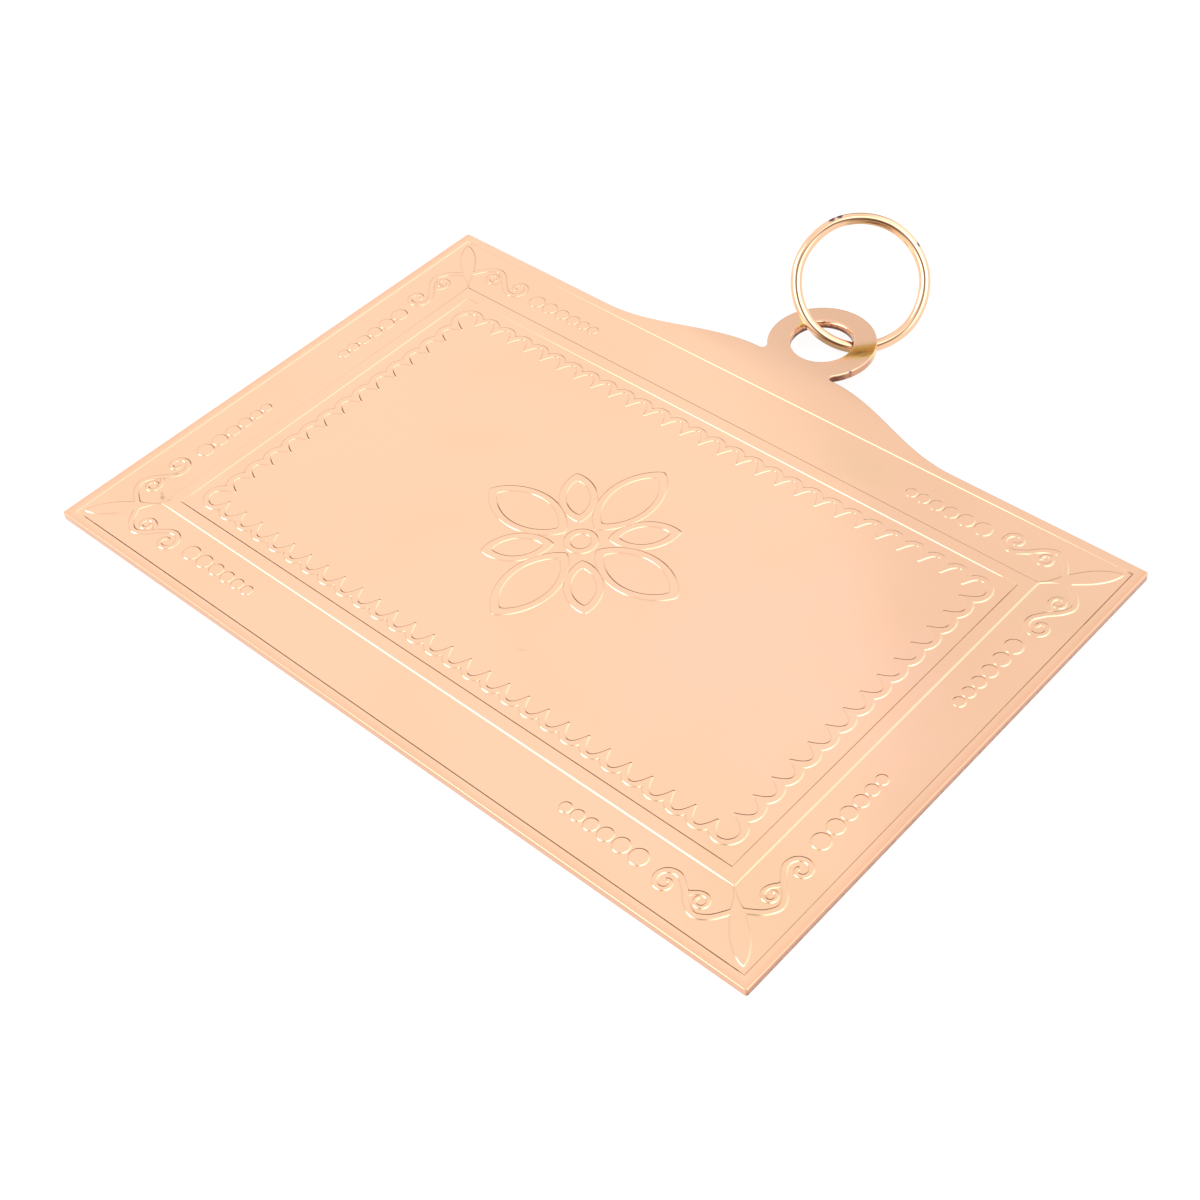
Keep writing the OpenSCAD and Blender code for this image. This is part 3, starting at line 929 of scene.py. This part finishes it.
roseGilt = {
    "color": (0.875, 0.55, 0.372, 1),
    "deep": (0.86, 0.535, 0.355, 1),
    "roughness": 0.09,
    # The eye and the gable are bent back above this height, by this slope
    "bendStart": 69,
    "bend": 0.044,
    "bendSoftness": 4,
    # Columns: how fine the noise is, its detail, its roughness
    "grain": (1.6, 4, 0.65),
    "cloud": (0.12, 3, 0.5),
    "ragged": 1.4,          # how far the grain moves an edge in and out
    "cloudy": 1.2,
    # Every patch: x, y, half length and half width in millimetres, turn in degrees, share of it that
    # fades, strength
    # Painted reflection: a pinker patch over the panel's middle right, standing in for a pinker light
    # mirrored in the face
    "paintedPinkReflection": (0.885, 0.545, 0.392, 1),
    "paintedPinkReflectionPatches": [(25, 34, 27, 23, 0, 0.9, 1.0)],
    # Painted shade: darker patches at the corners, along the upper border and over parts of the panel, where
    # the face reflects less light
    "paintedShade": (0.80, 0.525, 0.335, 1),
    "paintedShadePatches": [
        (45, 9, 11, 9, 0, 0.8, 0.9), (-46, 9.5, 9, 8, 0, 0.8, 0.5), (46, 56, 9, 8, 0, 0.8, 0.4),
        (-25, 60, 9, 2.2, -8, 0.8, 0.35), (16, 60, 9, 4, 0, 0.9, 0.5), (-40, 22, 3, 9, 0, 0.9, 0.4),
        (-20, 38, 9, 5, 35, 0.9, 0.35), (0, 10, 6, 5, 0, 0.9, 0.25),
    ],
    "paintedReliefShade": (0.72, 0.42, 0.25, 1),
    # Painted shade: brown for the walls of the relief that face up and left, away from the light
    "scuff": (0.36, 0.24, 0.16, 1),
    "scuffs": [
        (-42.75, 8.75, 0.75, 0.42, -25, 0.8, 0.55), (-43.3, 9.1, 0.35, 0.28, 0, 0.9, 0.4),
        (-41.65, 8.85, 0.65, 0.13, 80, 0.8, 0.45), (-44.45, 12.2, 0.42, 0.22, 50, 0.8, 0.5),
        (6.0, 17.2, 0.8, 0.3, 30, 0.9, 0.12), (44.9, 9.0, 0.5, 0.16, 45, 0.8, 0.3),
    ],
    # Painted reflection: a golden band on the eye where its face mirrors the ring, and two golden glints at
    # the hole's rim beside the ring
    "paintedRingReflection": (0.80, 0.63, 0.24, 1),
    "paintedRingReflectionPatches": [
        (4.95, 76.7, 3.4, 1.5, 56, 0.5, 0.9), (3.75, 74.5, 0.8, 0.5, 54, 0.8, 0.8),
        (-4.1, 76.3, 1.1, 0.42, 80, 0.7, 0.9),
    ],
    # Painted reflection: dark olive stripes inside the golden band, the ring's dark lines as mirrored in the
    # eye
    "paintedReflectionStripe": (0.42, 0.28, 0.09, 1),
    "paintedReflectionStripePatches": [
        (5.35, 75.9, 0.75, 0.2, 52, 0.9, 0.75), (4.7, 76.2, 1.1, 0.2, 54, 0.9, 0.4),
    ],
    "ink": (0.06, 0.05, 0.13, 1),
    "inkSpots": [(5.98, 72.7, 0.32, 0.32, 0, 0.5, 0.9)],
    "inkRagged": 0.3,
    # Painted shade with some tarnish: browns for the walls, painted darker deeper down and towards the notch
    # as shade; the darker one also colours tarnish streaks over the hole's lip
    "paintedShadeAndTarnish": (0.17, 0.07, 0.045, 1),
    "paintedWallShadeAndTarnish": (0.60, 0.27, 0.155, 1),
    "bareEdge": (0.84, 0.44, 0.28, 1),
    # Pairs: where a mask starts and where it ends, in millimetres unless a line says otherwise
    "paintedReliefShadeFacing": (0.1, 0.36),        # how far a wall of the engraving faces up and left
    "paintedReliefShadeDepth": (0.11, 0.14),
    "bareReach": (0.15, 1.0),           # in from the plate's edge
    "bareRagged": 0.3,
    "bareShare": 0.5,
    "wallDepth": (0.1, 0.3),            # down from the face
    "rightWallReach": (0.2, 0.02),      # in from the right edge
    "rightWallShare": 0.45,
    "rightWallDark": (0.55, 1.0),
    "rightWallRagged": 0.6,
    "rightWallDarkShare": 0.8,
    "holeReach": (4.1, 4.4),            # out from the hole's middle
    "holeDepth": (0.12, 0.5),
    "holeRagged": 0.25,
    "holeDark": (0.4, 0.7),
    "holeDarkRagged": 0.5,
    "holeRough": 0.15,
    "streak": (3.4, 3, 0.7),            # noise, as above
    "streakEdges": (0.53, 0.62),
    "streakDepth": (0.3, 0.42),
    "lipReach": (4.1, 4.25),
    "lipDepth": (0.02, 0.08),
    "lipShare": 0.8,
    "notchX": 5.5,                      # right end of the wall under the eye, from the eye's middle
    "underEyeReach": (5.5, 7.5),        # out from the notch there
    "underEyeAbove": (2.5, 3.5),        # above the upper edge
    "underEyeShare": 0.55,
    "underEyeGrain": 0.4,
    "notchReach": (0.9, 3.4),
    "notchRagged": 2,
}

yellowGilt = {
    "color": (0.92, 0.62, 0.41, 1),
    "deep": (0.91, 0.585, 0.375, 1),
    "roughness": 0.05,
    "grain": (1600, 3, 0.6),
    "spotEdges": (0.5, 1.0),    # shares of a spot's size
    # Columns of every table of spots: turn round the ring from its top as seen in the photo, clockwise
    # in degrees, size in millimetres. The place is in wire radii, out from the wire's middle and towards
    # the ring's front.
    "stain": (0.10, 0.05, 0.09, 1),
    "stains": [(335, 0.5), (342, 0.45), (57, 0.4)],
    "stainPlace": (0.8, 0.6),
    "stainRagged": 1,
    # Golden-brown spots on the inside of the wire at the ring's top
    "insideGoldenBrown": (0.62, 0.38, 0.19, 1),
    "insideGoldenBrownSpots": [(354, 1.65), (4, 1.8), (14, 1.8), (24, 1.6)],
    "insideGoldenBrownPlace": (-1.9, 0),
    # Painted shade: a darker tan on the outside of the wire low down by the eye, where it lies in shade near
    # the floor and in the hole
    "paintedUnderShade": (0.44, 0.26, 0.13, 1),
    "paintedUnderShadeSpots": [(190, 1.75), (198, 1.85), (206, 1.85), (214, 1.7)],
    "paintedUnderShadePlace": (1.9, 0),
    "shadeAndBrownRagged": 0.15,
}


# Colour, roughness and bump that both gildings share: a slow drift of the colour, haze, and fine
# polishing lines
def giltSurface(tree, place, look):
    drift = tree.smoothStep(tree.noise(place, *giltFinish["drift"]), *giltFinish["driftEdges"])
    color = tree.mix(drift, look["color"], look["deep"])
    haze = tree.noise(place, *giltFinish["haze"]) - 0.5
    hair = tree.add("ShaderNodeMapping", {}, {
        "Vector": place,
        "Rotation": (0, 0, giltFinish["polishTurn"]),
        "Scale": (1, giltFinish["polishStretch"], 1),
    })
    polish = tree.noise(hair, *giltFinish["polish"])
    roughness = look["roughness"] + haze * giltFinish["hazeRough"]
    roughness = roughness + (polish - 0.5) * giltFinish["polishRough"]
    swell = tree.noise(place, *giltFinish["swell"])
    bump = tree.add("ShaderNodeBump", {}, {
        "Strength": giltFinish["bumpStrength"],
        "Distance": giltFinish["bumpDistance"],
        "Height": swell + polish * giltFinish["polishHeight"],
    }, out="Normal")
    return color, roughness, bump


# The metal's shader, with the colour, roughness and bump linked to its sockets
def finishMetal(tree, color, roughness, bump):
    shader = tree.add("ShaderNodeBsdfPrincipled", {}, {
        "Base Color": color, "Metallic": 1.0, "Roughness": roughness, "Normal": bump,
    })
    tree.add("ShaderNodeOutputMaterial", {}, {"Surface": shader})


# A soft oval patch: full in its middle, fading to nothing at its edge, which the ragged value moves
# in and out
def patch(tree, at, row, ragged):
    x, y, halfLength, halfWidth, turn, soft, strength = row
    inside = tree.add("ShaderNodeMapping", {"vector_type": "TEXTURE"}, {
        "Vector": at,
        "Location": (x, y, 0),
        "Rotation": (0, 0, math.radians(turn)),
        "Scale": (halfLength, halfWidth, 1),
    })
    reach = tree.measure("LENGTH", inside)
    return (1 - tree.smoothStep(reach + ragged, 1 - soft, 1.0)) * strength


# Colour of the face: patches of painted reflection, painted shade and real marks, painted shade on the
# engraving's walls that face up and left, and bare copper along the worn edge of the rectangle's left, lower
# and right sides
def faceTone(tree, color, at, flat, x, y, depth, ragged):
    look = roseGilt
    cloud = (tree.noise(at, *look["cloud"]) - 0.5) * look["cloudy"]
    # Patches over the face: painted reflection (a pinker patch, and the ring mirrored in the eye as a golden
    # band with dark stripes and glints), painted shade, real scuffs and an ink spot
    for colorName, rowsName, uneven in (
        ("paintedPinkReflection", "paintedPinkReflectionPatches", cloud), ("paintedShade", "paintedShadePatches", cloud),
        ("paintedRingReflection", "paintedRingReflectionPatches", ragged), ("paintedReflectionStripe", "paintedReflectionStripePatches", ragged), ("scuff", "scuffs", ragged),
        ("ink", "inkSpots", ragged * look["inkRagged"]),
    ):
        for row in look[rowsName]:
            color = tree.mix(patch(tree, flat, row, uneven), color, look[colorName])
    upLeft = plateTurn @ Vector((-1, 1, 0)).normalized()
    away = tree.measure("DOT_PRODUCT", tree.add("ShaderNodeTexCoord", out="Normal"), tuple(upLeft))
    # Painted shade: the relief's walls that face up and left are painted browner
    onReliefWalls = 1 - tree.smoothStep(depth, *look["paintedReliefShadeDepth"])
    paintedReliefShade = tree.smoothStep(away, *look["paintedReliefShadeFacing"]) * onReliefWalls
    color = tree.mix(paintedReliefShade, color, look["paintedReliefShade"])
    fromSide = tree.math("MINIMUM", plate["width"] / 2 - tree.math("ABSOLUTE", x), y)
    bare = 1 - tree.smoothStep(fromSide + ragged * look["bareRagged"], *look["bareReach"])
    return tree.mix(bare * look["bareShare"], color, look["bareEdge"])


# Painted shade on the walls, with some tarnish: the right end's wall browner and darker deeper down, under
# the eye browner in patches and darkest towards the notch, and the hole's wall browner and darkest deep
# down, with tarnish streaks over its lip.
# Also gives the share of the hole's painted shade.
def wallTone(tree, color, at, flat, x, y, depth, grain, ragged):
    look = roseGilt
    lightBrown, darkBrown = look["paintedWallShadeAndTarnish"], look["paintedShadeAndTarnish"]
    onWall = tree.smoothStep(depth, *look["wallDepth"])
    # Painted shade: the right end's wall browner, unevenly by the grain, and darker deeper down
    outer, full = (plate["width"] / 2 - reach for reach in look["rightWallReach"])
    rightWall = tree.smoothStep(x, outer, full) * onWall
    color = tree.mix(rightWall * (look["rightWallShare"] + grain), color, lightBrown)
    dark = tree.smoothStep(depth + ragged * look["rightWallRagged"], *look["rightWallDark"])
    color = tree.mix(rightWall * dark * look["rightWallDarkShare"], color, darkBrown)

    # Painted shade: the hole's wall browner and darker deeper down; then tarnish streaks over its lip
    eye = (plate["eyeX"], plate["height"] + plate["eyeY"], 0)
    fromEye = tree.measure("DISTANCE", flat, eye)
    inHole = 1 - tree.smoothStep(fromEye, *look["holeReach"])
    holeTone = inHole * tree.smoothStep(depth + ragged * look["holeRagged"], *look["holeDepth"])
    color = tree.mix(holeTone, color, lightBrown)
    dark = tree.smoothStep(depth + ragged * look["holeDarkRagged"], *look["holeDark"])
    color = tree.mix(inHole * dark, color, darkBrown)
    streak = tree.smoothStep(tree.noise(at, *look["streak"]), *look["streakEdges"])
    streak = streak * (1 - tree.smoothStep(depth, *look["streakDepth"]))
    lip = (1 - tree.smoothStep(fromEye, *look["lipReach"])) * tree.smoothStep(depth, *look["lipDepth"])
    color = tree.mix(streak * lip * look["lipShare"], color, darkBrown)

    # Under the eye: browner in uneven patches, tarnish and painted shade, and painted shade darkest towards
    # the notch
    notch = (plate["eyeX"] + look["notchX"], plate["height"] + plate["gableHeight"], 0)
    fromNotch = tree.measure("DISTANCE", flat, notch)
    above = tree.smoothStep(y, *(plate["height"] + height for height in look["underEyeAbove"]))
    underEye = onWall * (1 - tree.smoothStep(fromNotch, *look["underEyeReach"])) * above
    color = tree.mix(underEye * (look["underEyeShare"] + grain * look["underEyeGrain"]), color, lightBrown)
    dark = 1 - tree.smoothStep(fromNotch + ragged * look["notchRagged"], *look["notchReach"])
    return tree.mix(underEye * dark, color, darkBrown), holeTone


# The plate's gilding, worked out in millimetres of the plate's own frame
def roseGiltMaterial():
    look = roseGilt
    material = bpy.data.materials.new("roseGilt")
    tree = Tree(material)
    place = tree.add("ShaderNodeTexCoord", out="Object")
    color, roughness, bump = giltSurface(tree, place, look)
    at = tree.add("ShaderNodeMapping", {"vector_type": "TEXTURE"}, {
        "Vector": place, "Location": tuple(plateShift), "Rotation": (tilt, 0, 0), "Scale": (millimetre,) * 3,
    })
    x, y, z = (tree.add("ShaderNodeSeparateXYZ", {}, {"Vector": at}, out=axis) for axis in "XYZ")
    flat = tree.add("ShaderNodeVectorMath", {"operation": "MULTIPLY"}, {0: at, 1: (1, 1, 0)})
    depth = plate["thickness"] - z
    grain = tree.noise(at, *look["grain"])
    ragged = (grain - 0.5) * look["ragged"]
    color = faceTone(tree, color, at, flat, x, y, depth, ragged)
    color, holeTone = wallTone(tree, color, at, flat, x, y, depth, grain, ragged)
    # The bent part's face turns as a smooth ramp of height
    beyond = tree.math("SMOOTH_MAX", y - look["bendStart"], 0.0, look["bendSoftness"])
    bump = tree.add("ShaderNodeBump", {}, {
        "Strength": 1.0, "Distance": millimetre, "Height": beyond * -look["bend"], "Normal": bump,
    }, out="Normal")
    finishMetal(tree, color, roughness + holeTone * look["holeRough"], bump)
    return material


# The ring's gilding, with round spots whose places are turned round the ring: real stains, golden-brown
# spots inside its top, and painted shade on the outside low down by the eye
def yellowGiltMaterial():
    look = yellowGilt
    centre, axis = Vector(ringMount["pos_m"]), Vector(ringMount["axis"])
    spoke = Vector(hinge) - centre
    up = plateTurn @ Vector(photoCamera["up"])
    top = (up - axis * up.dot(axis)).normalized()
    material = bpy.data.materials.new("yellowGilt")
    tree = Tree(material)
    place = tree.add("ShaderNodeTexCoord", out="Object")
    color, roughness, bump = giltSurface(tree, place, look)
    grain = tree.noise(place, *look["grain"]) - 0.5
    radius = wireRadius * millimetre
    for colorName, rowsName, placeName, raggedName in (
        # Painted shade low on the outside by the eye, golden-brown spots inside the top, and real stains
        ("paintedUnderShade", "paintedUnderShadeSpots", "paintedUnderShadePlace", "shadeAndBrownRagged"),
        ("insideGoldenBrown", "insideGoldenBrownSpots", "insideGoldenBrownPlace", "shadeAndBrownRagged"),
        ("stain", "stains", "stainPlace", "stainRagged"),
    ):
        out, front = look[placeName]
        for turn, size in look[rowsName]:
            outward = Matrix.Rotation(math.radians(-turn), 3, axis) @ top
            spot = centre + outward * (spoke.length + radius * out) + axis * radius * front
            away = tree.measure("DISTANCE", place, tuple(spot)) / (size * millimetre)
            near = 1 - tree.smoothStep(away + grain * look[raggedName], *look["spotEdges"])
            color = tree.mix(near, color, look[colorName])
    finishMetal(tree, color, roughness, bump)
    return material


giltPlate = makePlate()
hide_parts("breastplate")
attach(giltPlate, "plate")
giltPlate.data.materials.append(roseGiltMaterial())
print("plate made")

wireRing = makeRing()
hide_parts("suspension_ring")
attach(wireRing, "ring")
wireRing.data.materials.append(yellowGiltMaterial())
print("ring made")

studio = {
    "floorSize": 1.6,
    "floorColor": (0.10, 0.10, 0.10, 1),
    "floorRoughness": 0.9,
    "floorGlow": 0.90,      # a light table, so shadows stay faint
    "base": 1.08,
    "darkest": 0.02,
    "shade": (1, 0.86, 0.76, 1),    # colour of the darkest parts of the room
    "shadeEdges": (0.3, 1.0),       # the light below which the shade shows, and where it is gone
    "white": (1, 1, 1, 1),
    # Columns: compass angle and height of the lobe's middle, the radius within which it is full and the one
    # where it ends, all in degrees, and the light that it adds
    "lobes": [
        (150, 48, 14.7, 16.9, 0.14),
        (123, 33, 3, 8, -0.15),
        (122, 6, 12, 24, -0.80),
        (141, 12, 5, 14, -0.45),
        (-140, 31, 5, 13, 2.6),
        (-125, 41, 5, 13, 2.6),
        (-134, 48, 4, 10, 1.6),
        (62, 46, 14, 34, 0.55),
        (-18, 62, 9, 24, 1.05),
        (2, 34, 16, 30, 1.4),
        (-105, 28, 12, 26, 1.5),
        (-44, 34, 11, 24, -0.75),
        (-70, 46, 5, 15, -0.4),
        (-54, 6, 10, 26, -0.6),
    ],
}


# Light from all round: a base, with soft lobes added or taken off round some directions. Seen directly,
# the room is a plain white backdrop.
def softRoom():
    world = bpy.data.worlds.new("softRoom")
    scene.world = world
    tree = Tree(world)
    direction = tree.add("ShaderNodeTexCoord", out="Generated")
    light = studio["base"]
    for compass, height, full, fade, gain in studio["lobes"]:
        c, h = math.radians(compass), math.radians(height)
        middle = (math.cos(c) * math.cos(h), math.sin(c) * math.cos(h), math.sin(h))
        near = tree.measure("DOT_PRODUCT", direction, middle)
        lobe = tree.smoothStep(near, math.cos(math.radians(fade)), math.cos(math.radians(full)))
        light = lobe * gain + light
    light = tree.math("MAXIMUM", light, studio["darkest"])
    color = tree.mix(tree.smoothStep(light, *studio["shadeEdges"]), studio["shade"], studio["white"])
    lit = tree.add("ShaderNodeBackground", {}, {"Color": color, "Strength": light})
    plain = tree.add("ShaderNodeBackground", {}, {"Color": studio["white"], "Strength": 1.0})
    seen = tree.add("ShaderNodeLightPath", out="Is Camera Ray")
    shader = tree.add("ShaderNodeMixShader", {}, {0: seen, 1: lit, 2: plain})
    tree.add("ShaderNodeOutputWorld", {}, {"Surface": shader})


# Floor: one pale square that glows a little
def addFloor():
    half = studio["floorSize"] / 2
    corners = [(-half, -half, 0), (half, -half, 0), (half, half, 0), (-half, half, 0)]
    mesh = bpy.data.meshes.new("paleFloor")
    mesh.from_pydata(corners, [], [(0, 1, 2, 3)])
    floor = bpy.data.objects.new("paleFloor", mesh)
    scene.collection.objects.link(floor)
    material = bpy.data.materials.new("paleFloor")
    tree = Tree(material)
    shader = tree.add("ShaderNodeBsdfPrincipled", {}, {
        "Base Color": studio["floorColor"],
        "Roughness": studio["floorRoughness"],
        "Emission Color": studio["white"],
        "Emission Strength": studio["floorGlow"],
    })
    tree.add("ShaderNodeOutputMaterial", {}, {"Surface": shader})
    mesh.materials.append(material)


softRoom()
addFloor()
scene.view_settings.view_transform = "Standard"
print("studio lit")
